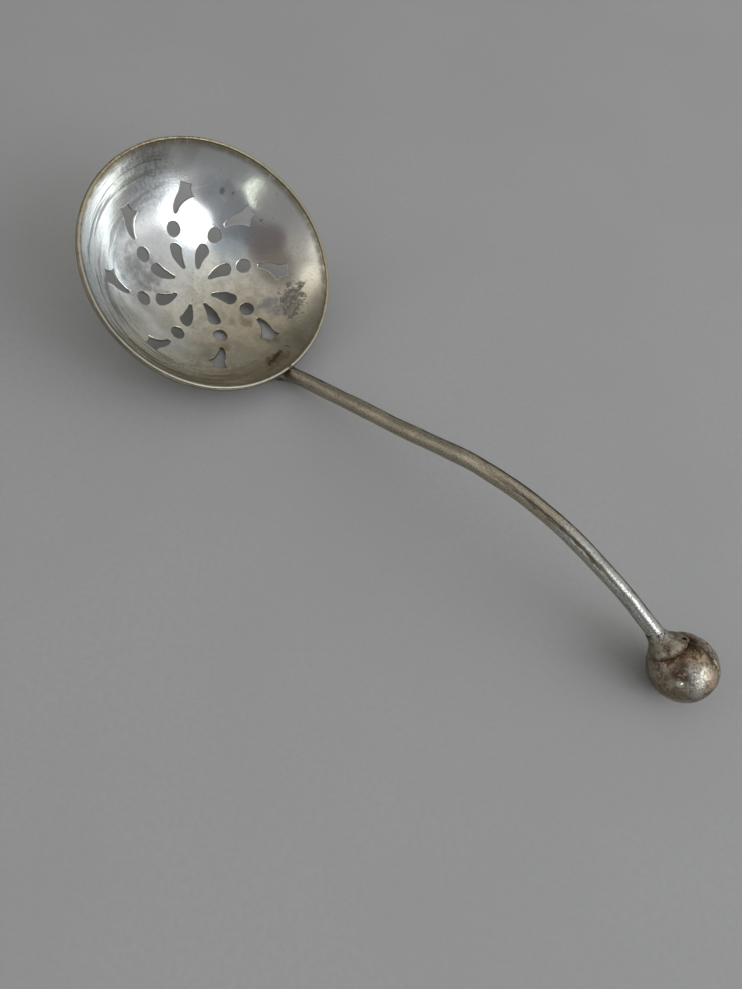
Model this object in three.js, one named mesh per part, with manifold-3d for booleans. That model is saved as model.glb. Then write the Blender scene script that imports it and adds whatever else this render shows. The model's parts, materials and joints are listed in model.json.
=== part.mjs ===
// Sifter spoon lying on a table: a round bowl raised from sheet and pierced by hand, a thin wire
// soldered on its edge, an arched handle of round wire, and a hollow ball of two soldered halves.
// Millimetres, +Z up, handle along +X. The spoon rests on its bowl and on its ball.
import * as THREE from 'three';
import { mergeVertices } from 'three/addons/utils/BufferGeometryUtils.js';
import Module from 'manifold-3d';

const wasm = await Module();
wasm.setup();

const degrees = THREE.MathUtils.degToRad;

// Driving dimensions of the bowl and its rim wire
const bowlMouthRadius = 26.1;
const bowlDepth = 14.6;
const sheetThickness = 0.8;
const rimWireDiameter = 0.9;
const rimWireOpening = 0.4;
const restFlatDepth = 0.15;
const lipHeight = 3.23;

// Driving dimensions of the piercing, with radii measured from the bowl's axis
const motifCount = 8;
const petalTipRadius = 4.5;
const petalLength = 5.5;
const petalWidth = 2.4;
const petalTipWidth = 0.8;
const roundHoleRingRadius = 12.5;
const roundHoleDiameter = 2.9;
const flowerTipRadius = 15.4;
const flowerLength = 5.3;
const flowerHeadWidth = 3.6;

// Driving dimensions of the handle
const rodDiameter = 3.3;
const rodTableClearance = 0.15;
const rootBelowLip = 1.33;
const rootOverlap = 3.2;
const riseAngle = degrees(18.7);
const riseLength = 47.1;
const archRadius = 47;
const fallAngle = degrees(24.5);

// Driving dimensions of the ball
const ballDiameter = 12.7;
const ballWall = 0.6;
const rodInsertion = 1.2;
const seamThickness = 0.4;
const seamDepth = 0.9;
const seamTurn = degrees(16.5);
const ventDiameter = 0.8;
const ventFromHandle = degrees(35);
const ventFromSeam = degrees(6.8);

// Driving dimensions of the solder
const solderGap = 0.3;
const solderThinEdge = 0.2;
const collarLength = 2.6;
const collarReach = degrees(40);
const collarHollow = 1.9;
const rootSolderLength = 1.8;
const rootSolderSpread = 0.95;

// Numbers of flats and steps on round work
const bowlSegments = 48;
const bowlRings = 8;
const wireSteps = 60;
const wireSides = 8;
const rodSteps = 44;
const rodSides = 16;
const ballSegments = 32;
const ballRings = 8;
const collarRings = 6;
const curveSteps = 4;
const holeSteps = 9;

// Working values of the cuts: how far a cutter passes the wall, a table wider than the spoon,
// and the distances under which two points are one
const cutMargin = 2;
const tableSpan = 400;
const weldDistance = 1e-4;
const samePoint = 1e-6;

// Where the hand that cut the bowl put each ring of motifs: the direction of the first copy from
// the handle, how far each copy wanders from an even spacing, and how far it swings about its tip
const petalRing = {
  first: 36.5,
  wander: [-2.8, 3.6, 0.2, -3.6, -5.1, -0.2, 5.5, 2.7],
  swing: [6, -4, -1, 1, 7, -1, -11, -5],
};
const holeRing = {
  first: 30.4,
  wander: [-0.1, 2.5, -0.1, -1.6, -1.3, -0.5, 0.7, 0.7],
  swing: [0],
};
const flowerRing = {
  first: 24.9,
  wander: [-0.8, 2.8, 0.7, -0.7, -1.7, -1.4, 1.4, 0],
  swing: [0],
};

const finishes = {
  bowl: { color: 0xb9b7ae, roughness: 0.28, metalness: 1 },
  rim: { color: 0xb59c5e, roughness: 0.35, metalness: 1 },
  rod: { color: 0x9c968a, roughness: 0.32, metalness: 1 },
  ball: { color: 0x8f8472, roughness: 0.36, metalness: 1 },
  solder: { color: 0x75654c, roughness: 0.55, metalness: 1 },
};

// The wall of the bowl lies between two spheres with one centre. Heights in the bowl's own frame
// are measured from the centre line of the rim wire, and the sheet's edge is below it.
const edgeDrop = rimWireDiameter / 2 + solderGap;
const rimLineRadius = bowlMouthRadius + sheetThickness / 2;
const innerSphereRadius = (bowlMouthRadius ** 2 + bowlDepth ** 2) / (2 * bowlDepth);
const outerSphereRadius = innerSphereRadius + sheetThickness;
const sphereHeight = innerSphereRadius - bowlDepth - edgeDrop;
const innerEdgeAngle = Math.acos((sphereHeight + edgeDrop) / innerSphereRadius);
const outerEdgeAngle = Math.acos((sphereHeight + edgeDrop) / outerSphereRadius);

// The bowl lies on its worn flat and leans towards the handle until its lip is lipHeight up
const sphereCentre = new THREE.Vector3(0, 0, outerSphereRadius - restFlatDepth);
const lipAngle = Math.acos((sphereCentre.z - lipHeight) / outerSphereRadius);
const bowlPlace = new THREE.Matrix4()
  .makeTranslation(sphereCentre)
  .multiply(new THREE.Matrix4().makeRotationY(outerEdgeAngle - lipAngle))
  .multiply(new THREE.Matrix4().makeTranslation(0, 0, -sphereHeight));

// The handle: its root lies under the lip on the outside of the bowl, then come a straight rise,
// a round arch, and a straight fall that ends with the ball on the table
const rodRadius = rodDiameter / 2;
const rodBoreRadius = rodRadius + solderGap;
const ballRadius = ballDiameter / 2;
const rootPoint = new THREE.Vector3(
  outerSphereRadius * Math.sin(lipAngle),
  0,
  lipHeight - rootBelowLip,
);
const riseDirection = new THREE.Vector3(Math.cos(riseAngle), 0, Math.sin(riseAngle));
const riseUpward = new THREE.Vector3(-Math.sin(riseAngle), 0, Math.cos(riseAngle));
const fallDirection = new THREE.Vector3(Math.cos(fallAngle), 0, -Math.sin(fallAngle));
const fallUpward = new THREE.Vector3(Math.sin(fallAngle), 0, Math.cos(fallAngle));
const archStart = rootPoint.clone().addScaledVector(riseDirection, riseLength);
const archCentre = archStart.clone().addScaledVector(riseUpward, -archRadius);
const archEnd = archCentre.clone().addScaledVector(fallUpward, archRadius);
const fallLength = (archEnd.z - ballRadius) / Math.sin(fallAngle);
const ballCentre = archEnd.clone().addScaledVector(fallDirection, fallLength);

// The seam of the ball runs lengthwise, in a plane through the rod's line that is turned a little
// from upright. The vent pinhole is beside the seam on top, next to the solder of the rod.
const seamNormal = new THREE.Vector3(0, Math.cos(seamTurn), 0)
  .addScaledVector(fallUpward, -Math.sin(seamTurn));
const seamUpward = new THREE.Vector3(0, Math.sin(seamTurn), 0)
  .addScaledVector(fallUpward, Math.cos(seamTurn));
const ventDirection = fallDirection.clone().multiplyScalar(-Math.cos(ventFromHandle))
  .addScaledVector(seamUpward, Math.sin(ventFromHandle))
  .multiplyScalar(Math.cos(ventFromSeam))
  .addScaledVector(seamNormal, Math.sin(ventFromSeam));

function alongRise(distance) {
  return rootPoint.clone().addScaledVector(riseDirection, distance);
}

// A point on the rod's line, at a distance from the centre of the ball
function beforeBall(distance) {
  return ballCentre.clone().addScaledVector(fallDirection, -distance);
}

// A closed geometry as a solid that can be cut
function toSolid(geometry) {
  const bare = geometry.clone();
  for (const name of Object.keys(bare.attributes)) {
    if (name !== 'position') bare.deleteAttribute(name);
  }
  const merged = mergeVertices(bare, weldDistance);
  return new wasm.Manifold(new wasm.Mesh({
    numProp: 3,
    vertProperties: new Float32Array(merged.attributes.position.array),
    triVerts: new Uint32Array(merged.index.array),
  }));
}

function toGeometry(solid) {
  const mesh = solid.getMesh();
  const geometry = new THREE.BufferGeometry();
  geometry.setAttribute('position', new THREE.BufferAttribute(mesh.vertProperties, 3));
  geometry.setIndex(new THREE.BufferAttribute(mesh.triVerts, 1));
  geometry.computeVertexNormals();
  return geometry;
}

function cut(solid, cutters) {
  return cutters.reduce((rest, cutter) => rest.subtract(toSolid(cutter)), solid);
}

function makeMesh(name, solid, finish) {
  const mesh = new THREE.Mesh(toGeometry(solid), new THREE.MeshStandardMaterial(finish));
  mesh.name = name;
  return mesh;
}

// Points on an arc about the turning axis, as radius and height, with angles from straight down
function arcPoints(radius, centreHeight, fromAngle, toAngle, count) {
  const points = [];
  for (let i = 0; i <= count; i += 1) {
    const angle = THREE.MathUtils.lerp(fromAngle, toAngle, i / count);
    const reach = radius * Math.sin(angle);
    const onAxis = Math.abs(reach) < samePoint;
    points.push(new THREE.Vector2(onAxis ? 0 : reach, centreHeight - radius * Math.cos(angle)));
  }
  return points;
}

// A turned solid about +Z, from a profile of radius and height
function turned(profile, segments) {
  return new THREE.LatheGeometry(profile, segments).rotateX(Math.PI / 2);
}

// A round bar or cone between two points
function roundBar(from, to, startRadius, endRadius, sides) {
  const along = to.clone().sub(from);
  const bar = new THREE.CylinderGeometry(endRadius, startRadius, along.length(), sides);
  const turn = new THREE.Quaternion()
    .setFromUnitVectors(new THREE.Vector3(0, 1, 0), along.clone().normalize());
  const middle = from.clone().lerp(to, 0.5);
  return bar.applyQuaternion(turn).translate(middle.x, middle.y, middle.z);
}

// The space that the bowl and its mouth fill, with the solder's gap round the outer wall and the
// edge, up to the top of the rim wire
function bowlClearance() {
  const radius = outerSphereRadius + solderGap;
  const edge = Math.acos((sphereHeight + edgeDrop - solderGap) / radius);
  const wall = arcPoints(radius, sphereHeight, 0, edge, 2 * bowlRings);
  const top = rimWireDiameter / 2 + solderGap;
  const mouth = [
    new THREE.Vector2(rimLineRadius, wall[wall.length - 1].y),
    new THREE.Vector2(rimLineRadius, top),
    new THREE.Vector2(0, top),
  ];
  return turned([...wall, ...mouth], 2 * bowlSegments).applyMatrix4(bowlPlace);
}

function rimWireClearance() {
  const tube = rimWireDiameter / 2 + solderGap;
  return new THREE.TorusGeometry(rimLineRadius, tube, 2 * wireSides, wireSteps)
    .applyMatrix4(bowlPlace);
}

function ballClearance() {
  const ball = new THREE.SphereGeometry(ballRadius + solderGap, ballSegments, 2 * ballRings);
  return ball.translate(ballCentre.x, ballCentre.y, ballCentre.z);
}

// Everything below a height over the table
function belowHeight(height) {
  const slab = new THREE.BoxGeometry(tableSpan, tableSpan, tableSpan);
  return slab.translate(0, 0, height - tableSpan / 2);
}

// The line of the rim wire, open where its ends meet over the handle
class RimLine extends THREE.Curve {
  getPoint(share) {
    const halfOpening = rimWireOpening / 2 / rimLineRadius;
    const angle = THREE.MathUtils.lerp(halfOpening, 2 * Math.PI - halfOpening, share);
    return new THREE.Vector3(
      rimLineRadius * Math.cos(angle),
      rimLineRadius * Math.sin(angle),
      0,
    );
  }
}

// The line of the handle, from its root under the bowl to its end inside the ball
class HandleLine extends THREE.Curve {
  getPoint(share) {
    const rise = rootOverlap + riseLength;
    const arch = archRadius * (riseAngle + fallAngle);
    const fall = fallLength - ballRadius + ballWall + rodInsertion;
    const run = share * (rise + arch + fall);
    if (run <= rise) return alongRise(run - rootOverlap);
    if (run <= rise + arch) {
      const angle = (run - rise) / archRadius - riseAngle;
      const upward = new THREE.Vector3(Math.sin(angle), 0, Math.cos(angle));
      return archCentre.clone().addScaledVector(upward, archRadius);
    }
    return archEnd.clone().addScaledVector(fallDirection, run - rise - arch);
  }
}

// Round wire bent along a line
function wireAlong(line, diameter, sides, steps) {
  const section = new THREE.Shape();
  for (let i = 0; i < sides; i += 1) {
    const angle = (2 * Math.PI * i) / sides;
    const x = (diameter / 2) * Math.cos(angle);
    const y = (diameter / 2) * Math.sin(angle);
    if (i === 0) section.moveTo(x, y);
    else section.lineTo(x, y);
  }
  section.closePath();
  return new THREE.ExtrudeGeometry(section, { steps, extrudePath: line, bevelEnabled: false });
}

// A closed outline of curves, given as a start and then, for each curve, the point that it bends
// towards and its end
function curvedOutline(start, curves) {
  const shape = new THREE.Shape();
  shape.moveTo(...start);
  for (const [bendX, bendY, endX, endY] of curves) shape.quadraticCurveTo(bendX, bendY, endX, endY);
  return shape.getPoints(curveSteps);
}

// A petal as the piercing saw left it: a blunt tip, one side that swells late and is nearly
// straight before, and another that is full from early on
function petalOutline() {
  const length = petalLength;
  const half = petalWidth / 2;
  const tip = petalTipWidth / 2;
  return curvedOutline([0, -0.7 * tip], [
    [0.36 * length, -0.3 * half, 0.67 * length, -0.96 * half],
    [0.78 * length, -1.17 * half, 0.89 * length, -0.62 * half],
    [1.02 * length, 0, 0.97 * length, 0.62 * half],
    [0.94 * length, half, 0.78 * length, 1.08 * half],
    [0.45 * length, 1.4 * half, 0, 0.8 * tip],
    [-0.06 * length, 0, 0, -0.7 * tip],
  ]);
}

function roundHoleOutline() {
  const shape = new THREE.Shape();
  shape.absarc(0, 0, roundHoleDiameter / 2, 0, 2 * Math.PI, false);
  return shape.getPoints(holeSteps);
}

// A flower: a blunt tail towards the middle of the bowl, and a head that swings to one side and
// ends in three points
function flowerOutline() {
  const length = flowerLength;
  const head = flowerHeadWidth;
  return curvedOutline([0.02 * length, 0.08 * head], [
    [0.36 * length, 0.1 * head, 0.62 * length, -0.33 * head],
    [0.74 * length, -0.49 * head, 0.99 * length, -0.54 * head],
    [0.87 * length, -0.75 * head, 0.83 * length, -1.22 * head],
    [0.76 * length, -1.1 * head, 0.62 * length, -1.14 * head],
    [0.5 * length, -1.17 * head, 0.43 * length, -1.3 * head],
    [0.42 * length, -0.52 * head, -0.02 * length, -0.07 * head],
    [-0.04 * length, 0, 0.02 * length, 0.08 * head],
  ]);
}

// Copies of an outline in a ring round the bowl's axis
function motifRing(outline, tipRadius, ring) {
  const middle = new THREE.Vector2();
  const copies = [];
  for (let i = 0; i < motifCount; i += 1) {
    const even = ring.first + (i * 360) / motifCount;
    const place = degrees(even + ring.wander[i % ring.wander.length]);
    const swing = degrees(ring.swing[i % ring.swing.length]);
    copies.push(outline.map((point) => {
      const swung = point.clone().rotateAround(middle, swing);
      swung.x += tipRadius;
      return swung.rotateAround(middle, place);
    }));
  }
  return copies;
}

function piercings() {
  return [
    ...motifRing(petalOutline(), petalTipRadius, petalRing),
    ...motifRing(roundHoleOutline(), roundHoleRingRadius, holeRing),
    ...motifRing(flowerOutline(), flowerTipRadius, flowerRing),
  ];
}

// The cutter of one piercing: its outline drawn from inside the bowl to outside it, square to
// the sheet, so along lines that meet in the centre of the spheres
function piercingCutter(outline) {
  const flat = outline.filter((point, i) => {
    const next = outline[(i + 1) % outline.length];
    return point.distanceTo(next) > samePoint;
  });
  if (THREE.ShapeUtils.isClockWise(flat)) flat.reverse();
  const positions = [];
  for (const radius of [innerSphereRadius - cutMargin, outerSphereRadius + cutMargin]) {
    for (const point of flat) {
      const drop = Math.sqrt(innerSphereRadius ** 2 - point.lengthSq());
      const place = new THREE.Vector3(point.x, point.y, -drop).setLength(radius);
      positions.push(place.x, place.y, place.z + sphereHeight);
    }
  }
  const count = flat.length;
  const faces = [];
  for (const [a, b, c] of THREE.ShapeUtils.triangulateShape(flat, [])) {
    faces.push(a, b, c, count + a, count + c, count + b);
  }
  for (let i = 0; i < count; i += 1) {
    const next = (i + 1) % count;
    faces.push(i, count + i, next, next, count + i, count + next);
  }
  const geometry = new THREE.BufferGeometry();
  geometry.setAttribute('position', new THREE.Float32BufferAttribute(positions, 3));
  geometry.setIndex(faces);
  return geometry;
}

function makeBowl() {
  const outside = arcPoints(outerSphereRadius, sphereHeight, 0, outerEdgeAngle, bowlRings);
  const inside = arcPoints(innerSphereRadius, sphereHeight, innerEdgeAngle, 0, bowlRings);
  const shell = toSolid(turned([...outside, ...inside], bowlSegments));
  const pierced = cut(shell, piercings().map(piercingCutter));
  const leaning = toSolid(toGeometry(pierced).applyMatrix4(bowlPlace));
  return makeMesh('bowl', cut(leaning, [belowHeight(0)]), finishes.bowl);
}

function makeRimWire() {
  const wire = wireAlong(new RimLine(), rimWireDiameter, wireSides, wireSteps);
  return makeMesh('rim_wire', toSolid(wire.applyMatrix4(bowlPlace)), finishes.rim);
}

// The rod's root is scarfed to the outside of the bowl, notched for the rim wire and filed flat
// where it would touch the table
function makeHandleRod() {
  const rod = toSolid(wireAlong(new HandleLine(), rodDiameter, rodSides, rodSteps));
  const cutters = [bowlClearance(), rimWireClearance(), belowHeight(rodTableClearance)];
  return makeMesh('handle_rod', cut(rod, cutters), finishes.rod);
}

// The solder run round the root of the handle, a saddle that is open towards the table
function makeRootSolder() {
  const foot = rodBoreRadius + rootSolderSpread;
  const tip = rodBoreRadius + solderThinEdge;
  const back = alongRise(-rootSolderLength);
  const front = alongRise(rootSolderLength);
  const bore = roundBar(
    alongRise(-rootSolderLength - cutMargin),
    alongRise(rootSolderLength + cutMargin),
    rodBoreRadius,
    rodBoreRadius,
    rodSides,
  );
  const open = belowHeight(rodTableClearance + solderGap);
  const skirt = toSolid(roundBar(back, front, foot, tip, rodSides));
  const saddle = cut(skirt, [bore, bowlClearance(), rimWireClearance(), open]);
  return makeMesh('handle_root_solder', saddle, finishes.solder);
}

// One half of the hollow ball: a cup about +Z with its open edge down, set back from the seam
function halfBall() {
  const edge = seamThickness / 2 + solderGap;
  const innerRadius = ballRadius - ballWall;
  const outside = arcPoints(ballRadius, 0, Math.acos(-edge / ballRadius), Math.PI, ballRings);
  const inside = arcPoints(innerRadius, 0, Math.PI, Math.acos(-edge / innerRadius), ballRings);
  return turned([...outside, ...inside, outside[0]], ballSegments);
}

// A geometry about +Z turned to another axis, its origin at the centre of the ball
function placeOnBall(geometry, axis) {
  const turn = new THREE.Quaternion().setFromUnitVectors(new THREE.Vector3(0, 0, 1), axis);
  return geometry.applyQuaternion(turn).translate(ballCentre.x, ballCentre.y, ballCentre.z);
}

// The hole where the rod enters the ball, long enough to cut the collar too
function rodBore() {
  const entry = beforeBall(ballRadius + collarLength + cutMargin);
  return roundBar(entry, ballCentre, rodBoreRadius, rodBoreRadius, rodSides);
}

function ventBore() {
  const outside = ballCentre.clone().addScaledVector(ventDirection, ballRadius + cutMargin);
  return roundBar(outside, ballCentre, ventDiameter / 2, ventDiameter / 2, wireSides);
}

// The left half, seen from the bowl, holds the vent. The rod enters between the halves.
function makeBallHalfLeft() {
  const half = toSolid(placeOnBall(halfBall(), seamNormal));
  return makeMesh('ball_half_left', cut(half, [rodBore(), ventBore()]), finishes.ball);
}

function makeBallHalfRight() {
  const half = toSolid(placeOnBall(halfBall(), seamNormal.clone().negate()));
  return makeMesh('ball_half_right', cut(half, [rodBore()]), finishes.ball);
}

// The ring of solder between the two halves, open where the rod enters
function makeBallSeam() {
  const inner = ballRadius - seamDepth;
  const half = seamThickness / 2;
  const outer = Math.sqrt(ballRadius ** 2 - half ** 2);
  const profile = [
    new THREE.Vector2(inner, -half),
    new THREE.Vector2(outer, -half),
    new THREE.Vector2(outer, half),
    new THREE.Vector2(inner, half),
    new THREE.Vector2(inner, -half),
  ];
  const ring = toSolid(placeOnBall(turned(profile, ballSegments), seamNormal));
  return makeMesh('ball_seam_solder', cut(ring, [rodBore()]), finishes.solder);
}

// The solder where the rod enters the ball: a cone that is hollowed towards the rod, with a thin
// foot that reaches over the ball past the vent
function makeBallCollar() {
  const top = rodBoreRadius + solderThinEdge;
  const topHeight = ballRadius + collarLength;
  const footReach = ballRadius + solderGap + solderThinEdge;
  const foot = footReach * Math.sin(collarReach);
  const footHeight = footReach * Math.cos(collarReach);
  const profile = [new THREE.Vector2(0, 0)];
  for (let i = 0; i <= collarRings; i += 1) {
    const share = i / collarRings;
    const radius = top + (foot - top) * (1 - share) ** collarHollow;
    profile.push(new THREE.Vector2(radius, THREE.MathUtils.lerp(footHeight, topHeight, share)));
  }
  profile.push(new THREE.Vector2(0, topHeight));
  const cone = toSolid(placeOnBall(turned(profile, ballSegments), fallDirection.clone().negate()));
  const collar = cut(cone, [rodBore(), ballClearance(), ventBore()]);
  return makeMesh('ball_collar', collar, finishes.solder);
}

// The spoon with its origin on the table, under the middle of its box
function makeSpoon() {
  const spoon = new THREE.Group();
  spoon.add(
    makeBowl(),
    makeRimWire(),
    makeHandleRod(),
    makeRootSolder(),
    makeBallHalfLeft(),
    makeBallHalfRight(),
    makeBallSeam(),
    makeBallCollar(),
  );
  const box = new THREE.Box3().setFromObject(spoon, true);
  const middle = box.getCenter(new THREE.Vector3());
  spoon.position.set(-middle.x, -middle.y, -box.min.z);
  return spoon;
}

export default makeSpoon();
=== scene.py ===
"""The looks of the sifter spoon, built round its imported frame.

Lengths in this script are millimetres, in the frame of the part, and become metres when a mesh,
lamp or camera is made. Angles are given in degrees.
"""

import json
import math

import bpy
import numpy as np
from mathutils import Euler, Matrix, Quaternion, Vector
from mathutils.geometry import delaunay_2d_cdt


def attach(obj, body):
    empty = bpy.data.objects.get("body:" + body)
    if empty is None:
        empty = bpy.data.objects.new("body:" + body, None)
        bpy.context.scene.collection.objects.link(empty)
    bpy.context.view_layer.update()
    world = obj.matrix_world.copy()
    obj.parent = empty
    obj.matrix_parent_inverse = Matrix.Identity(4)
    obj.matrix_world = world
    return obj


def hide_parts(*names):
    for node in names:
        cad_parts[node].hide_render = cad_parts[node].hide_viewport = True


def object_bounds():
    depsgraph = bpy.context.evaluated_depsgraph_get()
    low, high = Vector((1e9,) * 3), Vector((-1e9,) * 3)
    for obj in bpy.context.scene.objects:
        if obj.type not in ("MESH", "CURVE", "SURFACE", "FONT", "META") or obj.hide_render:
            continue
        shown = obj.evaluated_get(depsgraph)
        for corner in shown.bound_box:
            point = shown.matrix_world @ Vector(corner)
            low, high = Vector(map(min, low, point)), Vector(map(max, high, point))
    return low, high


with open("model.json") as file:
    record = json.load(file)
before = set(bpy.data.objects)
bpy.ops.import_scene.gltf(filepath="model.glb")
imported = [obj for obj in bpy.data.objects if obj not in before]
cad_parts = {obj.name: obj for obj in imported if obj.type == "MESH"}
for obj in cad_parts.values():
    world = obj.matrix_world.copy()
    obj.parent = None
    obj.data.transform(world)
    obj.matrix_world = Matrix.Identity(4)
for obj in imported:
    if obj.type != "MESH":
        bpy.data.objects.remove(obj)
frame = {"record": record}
cad_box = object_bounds()

MM = 0.001
BODY = "root"
ALONG, ACROSS, UP = np.eye(3)

# Measures of the bowl and its rim wire, as in the part
bowl_mouth_radius = 26.1
bowl_depth = 14.6
sheet_thickness = 0.8
rim_wire_diameter = 0.9
rim_wire_opening = 0.4
rest_flat_depth = 0.15
lip_height = 3.23
solder_gap = 0.3
# By how much the worn wire's radius is smaller than its solid's
rim_wire_wear = 0.11

# Measures of the piercing, as in the part
motif_count = 8
petal_tip_radius = 4.5
petal_length = 5.5
petal_width = 2.4
petal_tip_width = 0.8
round_hole_ring_radius = 12.5
round_hole_diameter = 2.9
flower_tip_radius = 15.4
flower_length = 5.3
flower_head_width = 3.6

# Measures of the handle and its ball, as in the part
rod_diameter = 3.3
rod_table_clearance = 0.15
root_below_lip = 1.33
root_overlap = 3.2
rise_angle = math.radians(18.7)
rise_length = 47.1
arch_radius = 47.0
fall_angle = math.radians(24.5)
ball_diameter = 12.7
ball_wall = 0.6
rod_insertion = 1.2
collar_length = 2.6
collar_hollow = 1.9
seam_turn = math.radians(16.5)
vent_radius = 0.4
vent_from_handle = math.radians(35)
vent_from_seam = math.radians(6.8)

# How closely the curved forms are meshed
grid_step = 0.55
outline_step = 0.2
least_gap = 0.3
rim_steps = 420
wire_sides = 20
rod_steps = 420
rod_sides = 40
ball_steps = 256
ball_rings = 72
collar_sides = 160
solder_sides = 56

# Where the random draws start
seed = 11

# The rings of motifs, as in the part: the direction of the first motif, how far each one strays
# from its even place, and how far it swings aside
petal_ring = (36.5, (-2.8, 3.6, 0.2, -3.6, -5.1, -0.2, 5.5, 2.7), (6, -4, -1, 1, 7, -1, -11, -5))
hole_ring = (30.4, (-0.1, 2.5, -0.1, -1.6, -1.3, -0.5, 0.7, 0.7), [0] * motif_count)
flower_ring = (24.9, (-0.8, 2.8, 0.7, -0.7, -1.7, -1.4, 1.4, 0), [0] * motif_count)

# How far the seam of the ball strays from its plane, in mm, at angles from the handle over the top,
# and how far from the handle's line the solder's foot reaches over the ball, both in degrees, at
# angles from the top towards the left
seam_strays = ((40, 0.4), (50, 0.6), (59, 0.7), (69, 0.25), (75, -0.1), (83, -0.35), (105, -0.35),
               (135, -0.1), (170, 0.1), (230, 0), (280, 0.15), (330, 0))
foot_reaches = ((-139, 37.8), (-100, 31.2), (-69, 35.7), (-54, 37.1), (-35, 40.2), (-17, 42.1),
                (18, 42.4), (32, 42), (48, 36.5), (81, 31), (130, 34), (180, 36))

# What follows from the measures
inner_radius = (bowl_mouth_radius**2 + bowl_depth**2) / (2 * bowl_depth)
outer_radius = inner_radius + sheet_thickness
rim_line_radius = bowl_mouth_radius + sheet_thickness / 2
edge_drop = rim_wire_diameter / 2 + solder_gap
sphere_height = inner_radius - bowl_depth - edge_drop
outer_edge_angle = math.acos((sphere_height + edge_drop) / outer_radius)
lip_angle = math.acos((outer_radius - rest_flat_depth - lip_height) / outer_radius)
lean = outer_edge_angle - lip_angle
rest_place = np.array(frame["record"]["mounts"][0]["pos_m"]) / MM
sphere_centre = rest_place + (outer_radius - rest_flat_depth) * UP
rod_radius = rod_diameter / 2
ball_radius = ball_diameter / 2


def unit(vector):
    vector = np.asarray(vector, float)
    return vector / np.linalg.norm(vector, axis=-1, keepdims=True)


def all_round(count, shift=0):
    """Even turns round a circle, in radians."""
    return (np.arange(count) + shift) * 2 * math.pi / count


def circle(turns):
    return np.column_stack((np.cos(turns), np.sin(turns)))


def section_of(turns, first, second):
    """Directions at some turns from the first of two directions towards the second."""
    return circle(turns) @ np.array([first, second])


def turned_to(first, second, angle):
    """A direction at an angle from the first of two directions towards the second."""
    return math.cos(angle) * first + math.sin(angle) * second


def slope_direction(angle):
    """Along the handle where it climbs by an angle."""
    return turned_to(ALONG, UP, angle)


def slope_upward(angle):
    return turned_to(UP, -ALONG, angle)


root_point = sphere_centre + outer_radius * slope_direction(lip_angle - math.pi / 2)
root_point[2] = lip_height - root_below_lip
arch_start = root_point + rise_length * slope_direction(rise_angle)
arch_centre = arch_start - arch_radius * slope_upward(rise_angle)
arch_end = arch_centre + arch_radius * slope_upward(-fall_angle)
fall_length = (arch_end[2] - ball_radius) / math.sin(fall_angle)
fall_direction = slope_direction(-fall_angle)
ball_centre = arch_end + fall_length * fall_direction

# Towards the handle, square to it upwards, and the same two as the plane of the seam has them
to_handle = -fall_direction
over_handle = slope_upward(-fall_angle)
seam_upward = turned_to(over_handle, ACROSS, seam_turn)
seam_normal = turned_to(ACROSS, -over_handle, seam_turn)
vent_in_seam = turned_to(to_handle, seam_upward, vent_from_handle)
vent_direction = turned_to(vent_in_seam, seam_normal, vent_from_seam)


# Meshes


def add_to_scene(name, data):
    made = bpy.data.objects.new(name, data)
    bpy.context.scene.collection.objects.link(made)
    return made


def make_piece(name, points, faces, node, material, marks=None, normals=None):
    """A smooth mesh that rides on the spoon and stands for one node of the part."""
    mesh = bpy.data.meshes.new(name)
    mesh.from_pydata((np.asarray(points) * MM).tolist(), [], faces)
    mesh.polygons.foreach_set("use_smooth", [True] * len(mesh.polygons))
    for label, values in (marks or {}).items():
        layer = mesh.attributes.new(label, "FLOAT_VECTOR", "POINT")
        layer.data.foreach_set("vector", np.asarray(values, np.float32).ravel())
    if normals is not None:
        mesh.normals_split_custom_set_from_vertices(normals.tolist())
    mesh.materials.append(material)
    piece = add_to_scene(name, mesh)
    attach(piece, BODY)
    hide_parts(node)


def ring_faces(first, second):
    """Four-sided faces between two closed rows of points, to the left of the first row."""
    return list(zip(first, [*first[1:], first[0]], [*second[1:], second[0]], second))


def skin(rows, closed=False):
    """Points and faces through rows of equal length, capped, or joined from the last to the first."""
    count = len(rows[0])
    ids = [range(k * count, (k + 1) * count) for k in range(len(rows))]
    faces = []
    for first, second in zip(ids, ids[1:]):
        faces += ring_faces(first, second)
    if closed:
        faces += ring_faces(ids[-1], ids[0])
    else:
        faces += [tuple(reversed(ids[0])), tuple(ids[-1])]
    return np.concatenate(rows), faces


def turned_over(faces):
    return [tuple(reversed(face)) for face in faces]


def waves(count, shortest, longest, size, key):
    """A random sum of plane waves in space: a smooth unevenness that is the same each time."""
    random = np.random.default_rng(seed + key)
    directions = unit(random.normal(size=(count, 3)))
    lengths = random.uniform(shortest, longest, count)
    phases = random.uniform(0, 2 * math.pi, count)
    strength = size * math.sqrt(2 / count)

    def at(points):
        turns = np.asarray(points) @ (directions * (2 * math.pi / lengths)[:, None]).T
        return strength * np.sin(turns + phases).sum(axis=1)

    return at


def smooth_step(low, high, value):
    share = np.clip((value - low) / (high - low), 0, 1)
    return share * share * (3 - 2 * share)


# The bowl


def lean_over(points):
    """Turns the bowl's own directions into those of the part."""
    x, y, z = np.asarray(points).T
    cos, sin = math.cos(lean), math.sin(lean)
    return np.column_stack((x * cos + z * sin, y, z * cos - x * sin))


def from_bowl_frame(points):
    """Points of the bowl's own frame, which has its origin in the plane of the rim wire."""
    return sphere_centre + lean_over(np.asarray(points) - sphere_height * UP)


hammering = waves(40, 7, 17, 0.045, key=1)


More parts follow.
